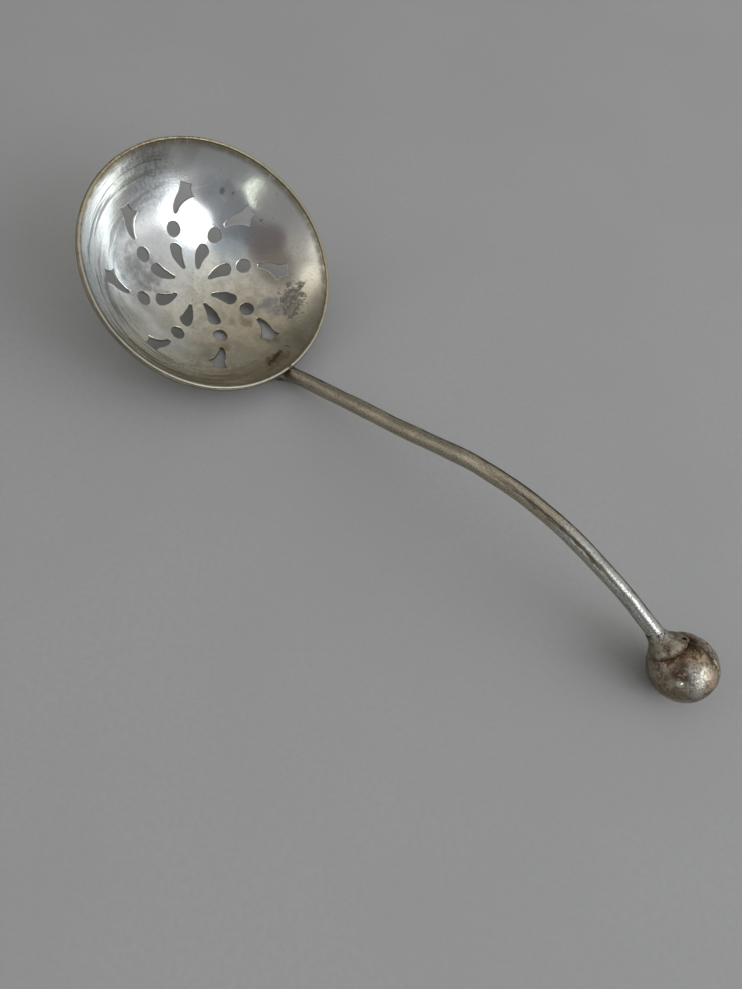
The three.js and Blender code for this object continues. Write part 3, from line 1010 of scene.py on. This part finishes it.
def rim_metal():
    """Thin plate worn through to dull brass, with painted shade below, and silver towards the handle."""
    look = Recipe("rubbed_brass", brass, 0.42)
    flat = look.mark("flat")
    here = look.here()
    fine = noise(here, 1.1, 5, 0.65)
    plated = plus(along(flat, (0.62, -0.78, 0)), ramp(fine, 0.3, 0.7, -0.5, 0.5))
    look.layer(((0.46, 0.44, 0.38), 0.42), ramp(plated, -0.1, 0.6))
    far_left = ramp(along(flat, (-0.98, 0.17, 0)), 0.7, 0.95)
    look.layer((brown, 0.5), far_left, ramp(noise(here, 2.3, 5, 0.7), 0.42, 0.6))
    # Painted shade: the wire turns brown and then near-black towards its underside
    height = plus(part_of(flat, 2), ramp(fine, 0.3, 0.7, -0.25, 0.25))
    look.layer(((0.25, 0.19, 0.11), 0.5), ramp(height, 0.85, 0.55, 0, 0.8))
    look.layer(((0.12, 0.095, 0.062), 0.6), ramp(height, 0.45, 0.1, 0, 0.85))
    look.relief(noise(here, 2, 4), 0.03)
    look.relief(noise(here, 7), 0.012)
    return look.finish()


def rod_metal():
    """Drawn wire with khaki tarnish, dark lines along it and painted shade down one side, rubbed bright
    towards the ball.
    """
    look = Recipe("tarnished_wire", khaki, 0.28)
    run = look.mark("run")
    here = look.here()
    from_bowl = part_of(run, 0)
    around = turn_of(part_of(run, 2), part_of(run, 1))
    cloud = noise(here, 0.22, 4, 0.6)
    lines = noise(scaled(run, (0.22, 3, 3)), 1.6, 5, 0.7)
    speck = noise(here, 2.6, 4, 0.7)
    grit = noise(here, 4.5, 2)
    near_ball = plus(from_bowl, ramp(cloud, 0.3, 0.7, -12, 12))
    look.layer(((0.56, 0.56, 0.55), 0.24), ramp(near_ball, 58, 88))
    look.layer(((0.47, 0.47, 0.46), 0.22), ramp(near_ball, 96, 116))
    dirty = ramp(near_ball, 105, 50, 0.3, 0.5)
    look.layer(((0.31, 0.27, 0.2), 0.36), ramp(lines, 0.44, 0.66), dirty)
    specks = both(ramp(speck, 0.53, 0.58), ramp(cloud, 0.35, 0.6, 0.3, 0.8))
    look.layer(((0.17, 0.14, 0.1), 0.42), specks)
    look.layer(((0.22, 0.19, 0.14), 0.38), ramp(grit, 0.52, 0.6, 0, 0.45))
    # Thin dark streaks down one side of the rod, towards the ball
    dark_streaks = both(ramp(from_bowl, 76, 90), ramp(lines, 0.53, 0.58), ramp(around, -0.5, -0.7))
    look.layer(((0.12, 0.1, 0.08), 0.4), dark_streaks, 0.45)

    # Painted shade: a dark band down the far side, and another below the crest in the bend, at angles
    # from the top
    side = plus(around, ramp(lines, 0.3, 0.7, -0.25, 0.25))
    far_side = both(ramp(side, 0.3, 0.55), ramp(side, 1.55, 1.2))
    less_at_ball = ramp(near_ball, 106, 86, 0, 0.95)
    look.layer(((0.09, 0.062, 0.035), 0.45), far_side, less_at_ball)
    below = both(ramp(side, -0.9, -0.72), ramp(side, -0.42, -0.58))
    in_bend = both(ramp(from_bowl, 52, 64), ramp(from_bowl, 94, 80))
    look.layer(((0.17, 0.14, 0.105), 0.34), below, in_bend)
    look.layer((brown, 0.5), ramp(from_bowl, 9, 3.5), ramp(speck, 0.4, 0.6))
    look.relief(lines, 0.03)
    look.relief(grit, 0.02)
    return look.finish()


def ball_stains_and_painted_light(look, place, ragged, stains):
    """Stains, and patches of painted highlight and reflection, by their direction from the ball's
    middle, radius, strength, and values of a layer.
    """
    for direction, radius, strength, *values in stains:
        look.layer(values, spot(place, on_ball(direction), radius, 0.8, ragged), strength)


def on_ball(direction):
    """A place on the ball, in mm from its middle."""
    return tuple(unit(direction) * ball_radius)


def rusty_side(lines):
    """A mask of the rusted part of the solder's foot, by the angle round the handle's line."""
    return ramp(part_of(lines, 2), -1.55, -1, 0.1)


def ball_metal():
    """Mottled brown tarnish over plate, dark and rusty along the seam and the solder's foot, with
    painted highlights and a painted dark reflection in front.
    """
    look = Recipe("mottled_plate", (0.4, 0.355, 0.275), 0.3)
    place = minus(look.here(), tuple(ball_centre))
    lines = look.mark("lines")
    cloud = noise(place, 0.3, 4, 0.6, 0.4)
    blotch = noise(place, 0.85, 6, 0.7)
    patch = noise(place, 1.5, 5, 0.65)
    speck = noise(place, 2.4, 5, 0.75)
    look.layer(((0.22, 0.175, 0.115), 0.34), ramp(blotch, 0.47, 0.55))
    clouded = both(ramp(cloud, 0.46, 0.6), ramp(speck, 0.4, 0.54))
    look.layer(((0.17, 0.11, 0.085), 0.36), clouded)
    look.layer(((0.15, 0.11, 0.07), 0.38), ramp(speck, 0.5, 0.56, 0, 0.6))
    look.layer(((0.5, 0.46, 0.37), 0.28), ramp(speck, 0.44, 0.39, 0, 0.5))
    ragged = ramp(speck, 0.25, 0.75, -0.9, 0.9)
    ball_stains_and_painted_light(look, place, ragged, (
        ((-0.41, -0.68, 0.61), 1.9, 0.7, (0.46, 0.42, 0.34), 0.34),
        ((-0.63, -0.78, 0.04), 2.6, 0.45, khaki, 0.34),
        # Painted highlight: a lighter, smoother patch where the window's highlight falls
        ((0.28, -0.5, 0.82), 3.2, 0.6, (0.48, 0.455, 0.42), 0.24),
        ((0.2, -0.82, 0.5), 2, 0.4, (0.45, 0.42, 0.37), 0.24),
        ((-0.1, 0.06, 0.99), 2.4, 0.65, (0.36, 0.28, 0.165), 0.38),
        ((0.58, -0.02, 0.81), 2.1, 0.75, (0.27, 0.2, 0.15), 0.4),
        ((0.76, -0.2, 0.62), 1.6, 0.7, (0.3, 0.19, 0.12), 0.45, 0.5),
        ((0.61, -0.64, 0.47), 2.3, 0.7, (0.56, 0.53, 0.48), 0.28),
        ((0.34, -0.9, 0.22), 2.3, 0.7, (0.2, 0.165, 0.115), 0.4),
        # Painted reflection: two plum-black patches where the room's dark corner is mirrored
        ((-0.17, -0.68, 0.71), 2.1, 0.95, (0.09, 0.036, 0.028), 0.36),
        ((0.05, -0.67, 0.75), 1.7, 0.85, (0.11, 0.055, 0.045), 0.36),
        ((-0.21, -0.47, 0.86), 1.5, 0.95, (0.075, 0.055, 0.04), 0.42),
        ((-0.55, -0.3, 0.78), 1.7, 0.75, (0.17, 0.13, 0.08), 0.4),
        ((-0.2, -0.97, -0.12), 2.6, 0.6, brown, 0.4),
    ))
    beyond_seam = ramp(part_of(lines, 1), 0.1, 1.4)
    outer_top = both(beyond_seam, spot(place, (0.9, 3.2, 5.2), 5.5, 0.7))
    look.layer(((0.64, 0.58, 0.49), 0.32), outer_top, ramp(patch, 0.52, 0.47))
    look.layer(((0.09, 0.055, 0.032), 0.5, 0.5), outer_top, ramp(patch, 0.52, 0.55, 0, 0.75))
    # Painted highlight: lighter flecks, broken by dark specks, where the window's highlight falls
    lit = spot(place, (1.4, -3.6, 5), 4.2, 0.8)
    look.layer(((0.62, 0.6, 0.56), 0.2), lit, ramp(speck, 0.48, 0.42, 0, 0.8))
    look.layer(((0.16, 0.12, 0.085), 0.35), lit, ramp(speck, 0.53, 0.58, 0, 0.85))
    # A lighter spot of painted highlight, also polished so that the small lamp's glint shows crisp there
    glint = spot(place, on_ball((0.07, -0.83, 0.56)), 1, 1)
    look.layer(((0.66, 0.65, 0.63), 0.07), ramp(glint, 0.1, 0.6))

    # The rust that has crept out of the seam and from under the collar, by distance in mm
    from_edge = part_of(lines, 0)
    off_seam = plus(size_of(part_of(lines, 1)), ramp(patch, 0.4, 0.6, -0.9, 0.9))
    rusted = ramp(from_edge, 8, 5.5)
    look.layer(((0.1, 0.058, 0.028), 0.7, 0.2), rusted, ramp(off_seam, 1, 0.6, 0, 0.9))
    look.layer((dark_pit, 0.8, 0.2), rusted, ramp(off_seam, 0.3, 0, 0, 0.9))
    golden = spot(place, on_ball((-0.07, 0.02, 1)), 2.7, 0.7)
    look.layer(((0.43, 0.345, 0.22), 0.34), golden, ramp(patch, 0.52, 0.48, 0, 0.85))
    look.layer(((0.1, 0.057, 0.027), 0.6, 0.4), golden, ramp(patch, 0.5, 0.53, 0, 0.9))
    in_front = rusty_side(lines)
    off_foot = plus(from_edge, ramp(patch, 0.4, 0.6, -0.8, 0.8))
    look.layer(((0.175, 0.088, 0.037), 0.6, 0.4), in_front, ramp(off_foot, 1, 0.8, 0, 0.9))
    look.layer(((0.05, 0.03, 0.018), 0.8, 0.2), in_front, ramp(off_foot, 0.2, 0, 0, 0.8))
    ball_stains_and_painted_light(look, place, ragged, (
        ((-0.33, 0.26, 0.91), 2.3, 1, (0.035, 0.02, 0.01), 0.6, 0.8),
        ((-0.16, 0.14, 0.98), 1.5, 0.8, (0.06, 0.035, 0.018), 0.6, 0.8),
    ))
    uneven = ramp(glint, 0.5, 0)
    look.relief(both(plus(blotch, -0.5), uneven), 0.07)
    look.relief(both(plus(speck, -0.5), uneven), 0.08)
    return look.finish()


def collar_metal():
    """Cream-grey solder with a plum stripe, dark beside the vent with painted shade in its mouth, and
    rusty at its foot.
    """
    look = Recipe("collar_solder", (0.42, 0.385, 0.305), 0.32)
    place = minus(look.here(), tuple(ball_centre))
    lines = look.mark("lines")
    blotch = noise(place, 0.9, 6, 0.7)
    speck = noise(place, 2.8, 4, 0.7)
    look.layer(((0.21, 0.18, 0.125), 0.38), ramp(blotch, 0.46, 0.56))
    ragged = ramp(speck, 0.25, 0.75, -0.7, 0.7)
    stripe = (0.12, 0.07, 0.055)
    ball_stains_and_painted_light(look, place, ragged, (
        ((-0.58, -0.05, 0.81), 1.7, 0.8, (0.5, 0.46, 0.37), 0.3),
        ((-0.88, -0.3, 0.38), 2.2, 0.6, (0.24, 0.215, 0.16), 0.38),
        ((-0.89, 0.05, 0.45), 1.5, 0.9, stripe, 0.42),
        ((-0.82, -0.05, 0.56), 1.3, 0.9, stripe, 0.42),
        ((-0.77, -0.14, 0.63), 1.3, 0.95, stripe, 0.42),
        ((-0.71, -0.24, 0.66), 1.3, 0.95, stripe, 0.42),
        ((-0.65, -0.32, 0.69), 1.1, 0.9, stripe, 0.42),
        ((-0.7, 0.45, 0.55), 2.2, 0.6, (0.24, 0.205, 0.15), 0.42),
    ))
    from_edge = part_of(lines, 0)
    at_rod = plus(from_edge, ramp(speck, 0.3, 0.7, -0.8, 0.8))
    look.layer(((0.46, 0.455, 0.44), 0.24), ramp(at_rod, -2.7, -3.6))
    dark_ring = both(ramp(at_rod, -2.3, -2.7), ramp(at_rod, -3.5, -3.1))
    look.layer((dark_pit, 0.6), dark_ring, ramp(speck, 0.5, 0.58))
    inside_foot = plus(from_edge, ramp(speck, 0.3, 0.7, -0.3, 0.3))
    rusted = both(rusty_side(lines), ramp(inside_foot, -0.5, -0.05, 0, 0.9))
    look.layer(((0.12, 0.065, 0.03), 0.7, 0.3), rusted)
    beside_vent = on_ball(vent_direction + (0.12, 0.05, 0.02))
    look.layer(((0.1, 0.07, 0.045), 0.5), spot(place, beside_vent, 1.3, 0.5, ragged))
    look.layer(((0.3, 0.26, 0.2), 0.4), spot(place, on_ball(vent_direction), 0.85, 0.3, ragged))
    # Painted shade: the vent's mouth is near-black, for the depth of the hole
    look.layer((dark_pit, 0.8), spot(place, on_ball(vent_direction), vent_radius + 0.08, 0.35))
    look.layer((dark_pit, 0.6), ramp(speck, 0.6, 0.68), ramp(blotch, 0.4, 0.6))
    look.relief(blotch, 0.08)
    look.relief(speck, 0.04)
    return look.finish()


def solder_metal():
    """Dull grey-khaki solder with dark pits."""
    look = Recipe("dull_solder", (0.38, 0.35, 0.28), 0.42)
    here = look.here()
    blotch = noise(here, 0.8, 5, 0.65)
    speck = noise(here, 2.8, 4, 0.7)
    look.layer(((0.2, 0.155, 0.11), 0.5), ramp(blotch, 0.45, 0.58))
    look.layer((dark_pit, 0.7), ramp(speck, 0.6, 0.7))
    look.relief(blotch, 0.06)
    look.relief(speck, 0.03)
    return look.finish()


def seam_metal():
    """Rough corroded solder, brown to orange, and rubbed to tan away from the handle."""
    look = Recipe("corroded_solder", (0.07, 0.045, 0.03), 0.7, 0.3)
    blotch = noise(look.here(), 1.3, 5, 0.7)
    look.layer(((0.12, 0.065, 0.035), 0.7), ramp(blotch, 0.52, 0.68))
    look.layer((dark_pit, 0.8), ramp(blotch, 0.42, 0.32))
    rubbed = ramp(part_of(look.mark("lines"), 0), 5, 7.5)
    look.layer(((0.33, 0.26, 0.18), 0.4, 0.9), rubbed, ramp(blotch, 0.6, 0.5))
    look.relief(blotch, 0.08)
    return look.finish()


# The room


floor_half_width = 1500.0
floor_colour = (0.355, 0.357, 0.355)


def shaded(colour, share):
    return tuple(share * c for c in colour)


def make_floor():
    look = Recipe("pale_table", floor_colour, 0.8, 0.0)
    look.shader.inputs["Specular IOR Level"].default_value = 0.25
    here = look.here()
    grain = noise(here, 0.9, 4, 0.7)
    look.layer((shaded(floor_colour, 0.93),), ramp(grain, 0.3, 0.75))
    look.layer((shaded(floor_colour, 0.92),), ramp(noise(here, 0.02), 0.35, 0.65, 0, 0.5))
    look.relief(grain, 0.05)
    half = floor_half_width * MM
    mesh = bpy.data.meshes.new("table_top")
    corners = [(-half, -half, 0), (half, -half, 0), (half, half, 0), (-half, half, 0)]
    mesh.from_pydata(corners, [], [(0, 1, 2, 3)])
    mesh.materials.append(look.finish())
    floor = add_to_scene("table_top", mesh)


def sky_direction(azimuth, elevation):
    """A direction from the spoon: azimuth from +X towards +Y, elevation from the table."""
    azimuth, elevation = math.radians(azimuth), math.radians(elevation)
    flat = math.cos(elevation)
    return Vector((flat * math.cos(azimuth), flat * math.sin(azimuth), math.sin(elevation)))


def make_lamp(name, azimuth, elevation, tilt, wide, high, distance, radiance, colour, mirrored=True):
    """A soft lamp that faces the spoon, as wide and high as these angles, seen from there. A tilt
    leans its top towards smaller azimuths. One that isn't mirrored only deepens shadows."""
    data = bpy.data.lights.new(name, "AREA")
    data.shape = "RECTANGLE"
    data.size = 2 * distance * math.tan(math.radians(wide / 2)) * MM
    data.size_y = 2 * distance * math.tan(math.radians(high / 2)) * MM
    data.energy = radiance * math.pi * data.size * data.size_y
    data.color = colour
    direction = sky_direction(azimuth, elevation)
    lamp = add_to_scene(name, data)
    lamp.location = direction * distance * MM
    facing = direction.to_track_quat("Z", "Y") @ Quaternion((0, 0, 1), math.radians(tilt))
    lamp.rotation_euler = facing.to_euler()
    lamp.visible_camera = False
    lamp.visible_glossy = mirrored


def make_lamps():
    make_lamp("window", 3, 23, 24, 32, 44, 1200, 2.5, (0.92, 0.98, 1.0))
    make_lamp("window_glow", 28, 26, 0, 36, 36, 1200, 2.6, (1.0, 1.0, 1.0), mirrored=False)
    make_lamp("garden_door", -62.3, 12.4, 0, 6, 18, 409, 1.7, (0.9, 0.97, 0.78))


# Parts of the room: azimuth and elevation, half angles where it is full and where it has faded
# out, and colour
room_patches = (
    (0, 90, 20, 65, (0.62, 0.615, 0.6)),
    (165, 8, 20, 50, (0.24, 0.23, 0.22)),
    (30, 42, 15, 55, (0.7, 0.7, 0.69)),
    (0, 46, 8, 30, (0.68, 0.74, 0.77)),
    (4, 51, 5, 19, (0.92, 0.95, 0.97)),
    (98, 2, 8, 28, (0.1, 0.095, 0.09)),
    (36, -1, 7, 15, (1.05, 1.07, 1.07)),
    (53, -3, 5, 12, (1, 1.01, 1.01)),
    (-72, 18, 8, 34, (0.32, 0.31, 0.3)),
    (-42, 28, 12, 24, (0.25, 0.255, 0.265)),
    (-29, 5, 6, 17, (0.24, 0.25, 0.27)),
    (-46, 40, 6, 14, (0.17, 0.18, 0.19)),
    (-30, 51, 4, 14, (0.36, 0.43, 0.48)),
    (-75, 46, 7, 22, (0.19, 0.155, 0.155)),
    (-101, 55, 3, 15, (0.22, 0.2, 0.195)),
    (-118, 24, 3, 10, (1.15, 1.14, 1.1)),
    (-134, 36, 3, 11, (1.5, 1.49, 1.43)),
    (-150, 46, 3, 10, (1.3, 1.29, 1.24)),
)
wall_colour = (0.46, 0.457, 0.45)
backdrop_colour = (0.56, 0.56, 0.555)


def cosine(angle):
    return math.cos(math.radians(angle))


def make_room():
    world = bpy.data.worlds.new("room")
    bpy.context.scene.world = world
    world.use_nodes = True
    tree = world.node_tree
    tree.nodes.clear()
    look = add_node(tree, "TexCoord").outputs["Generated"]
    colour = wall_colour
    for azimuth, elevation, full, gone, patch in room_patches:
        toward = along(look, sky_direction(azimuth, elevation))
        mask = ramp(toward, cosine(gone), cosine(full))
        colour = add_node(tree, "Mix", {0: mask, 6: colour, 7: patch}, data_type="RGBA").outputs[2]
    # Seen past the table, the room is one plain pale wall
    straight = add_node(tree, "LightPath").outputs["Is Camera Ray"]
    plain = add_node(tree, "Mix", {0: straight, 6: colour, 7: backdrop_colour}, data_type="RGBA")
    background = add_node(tree, "Background", {"Color": plain.outputs[2], "Strength": 1.0})
    add_node(tree, "OutputWorld", {"Surface": background.outputs["Background"]})


# The photograph's view: where it is taken from, seen from the bowl's resting place, how it is
# turned, and its height and focal length in pixels
camera_from_rest = (85.73, -74.92, 132.39)
camera_turn = (29.358, -5.841, 41.123)
photo_height = 989
focal_pixels = 740
sensor = 36


def make_camera():
    data = bpy.data.cameras.new("photo_view")
    data.sensor_width = sensor
    data.lens = sensor * focal_pixels / photo_height
    data.clip_start = 1 * MM
    camera = add_to_scene("photo_view", data)
    camera.location = Vector(rest_place + camera_from_rest) * MM
    camera.rotation_euler = Euler([math.radians(a) for a in camera_turn], "XYZ")
    bpy.context.scene.camera = camera


def make_spoon():
    ball = ball_metal()
    make_bowl(bowl_metal())
    make_rim_wire(rim_metal())
    make_handle(rod_metal())
    make_root_solder(solder_metal())
    make_ball_half("ball_cup_left", "ball_half_left", 1, ball)
    make_ball_half("ball_cup_right", "ball_half_right", -1, ball)
    make_ball_seam(seam_metal())
    make_ball_collar(collar_metal())


make_camera()
make_spoon()
make_floor()
make_lamps()
make_room()
bpy.context.scene.view_settings.view_transform = "Standard"
